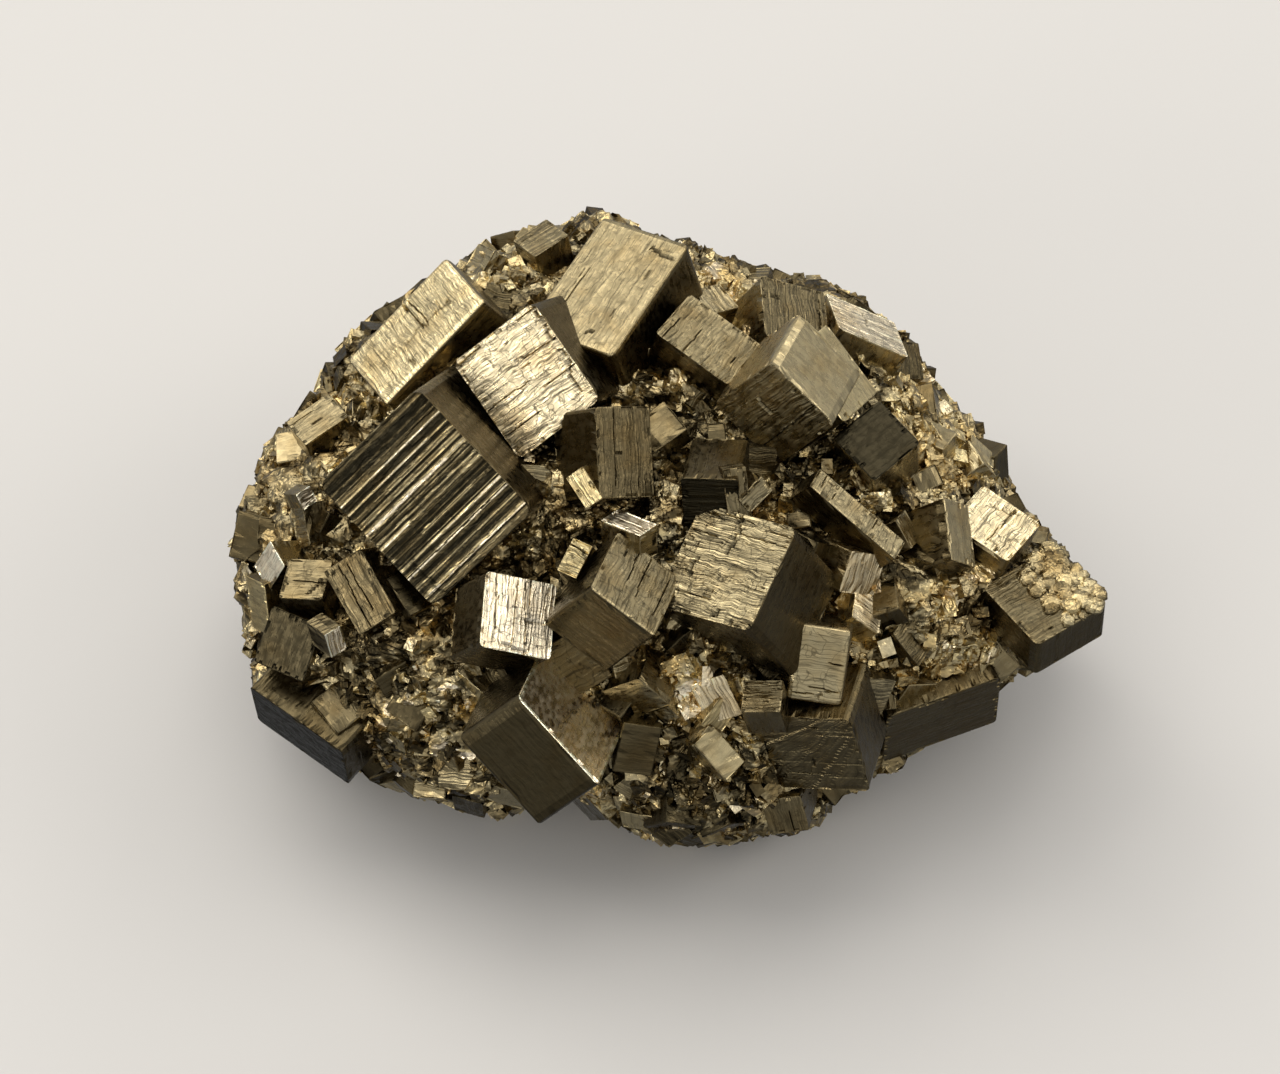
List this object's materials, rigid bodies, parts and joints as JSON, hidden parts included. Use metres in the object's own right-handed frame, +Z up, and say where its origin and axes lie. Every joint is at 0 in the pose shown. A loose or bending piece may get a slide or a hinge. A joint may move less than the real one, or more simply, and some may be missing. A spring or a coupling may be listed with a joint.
{
  "type": "pyrite specimen",
  "caption": "Rounded cluster of intergrown striated pyrite cubes and granular crystals that rests on a flat cut base.",
  "frame": {"origin": "a point on the flat cut base, straight below the middle of the cluster", "axes": "+Z up from the base, +X to the right along the longest side as the picture shows it, -Y towards the viewer"},
  "size_m": [0.0578, 0.0504, 0.0354],
  "materials": {
    "pyrite": "natural metallic crystal faces, striated and lightly tarnished"
  },
  "bodies": {
    "root": {"pyrite_cluster": "pyrite"}
  },
  "joints": []
}
